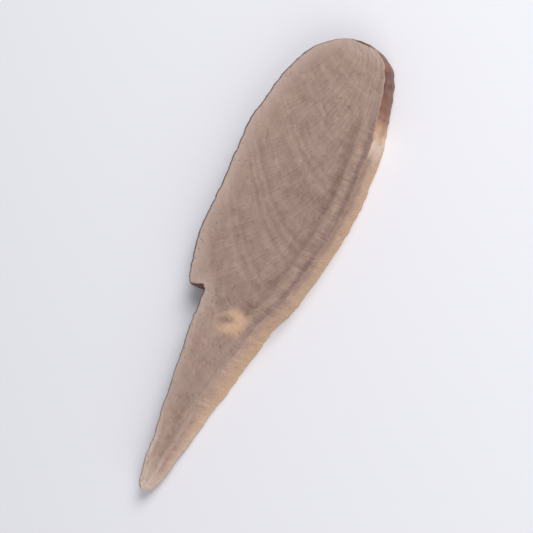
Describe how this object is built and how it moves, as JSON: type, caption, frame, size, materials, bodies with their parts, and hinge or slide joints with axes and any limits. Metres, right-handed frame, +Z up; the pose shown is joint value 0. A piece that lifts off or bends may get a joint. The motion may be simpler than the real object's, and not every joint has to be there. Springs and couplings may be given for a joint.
{
  "type": "dried reishi mushroom slice",
  "caption": "Dried reishi slice cut radially through a cap: dark crust on one long edge, pale pore surface on the other, thin tip, stepped ledge and small insect hole. Lies flat on its cut face.",
  "frame": {"origin": "middle of the footprint's box, on the surface that the slice lies on", "axes": "+X from the thin tip to the broad back edge, +Y from the pore surface to the crust, +Z up out of the front cut face"},
  "size_m": [0.08, 0.0226, 0.0052],
  "materials": {
    "dried_reishi": "matte corky cut flesh, satin lacquered crust"
  },
  "bodies": {
    "root": {"reishi_slice": "dried_reishi"}
  },
  "joints": []
}
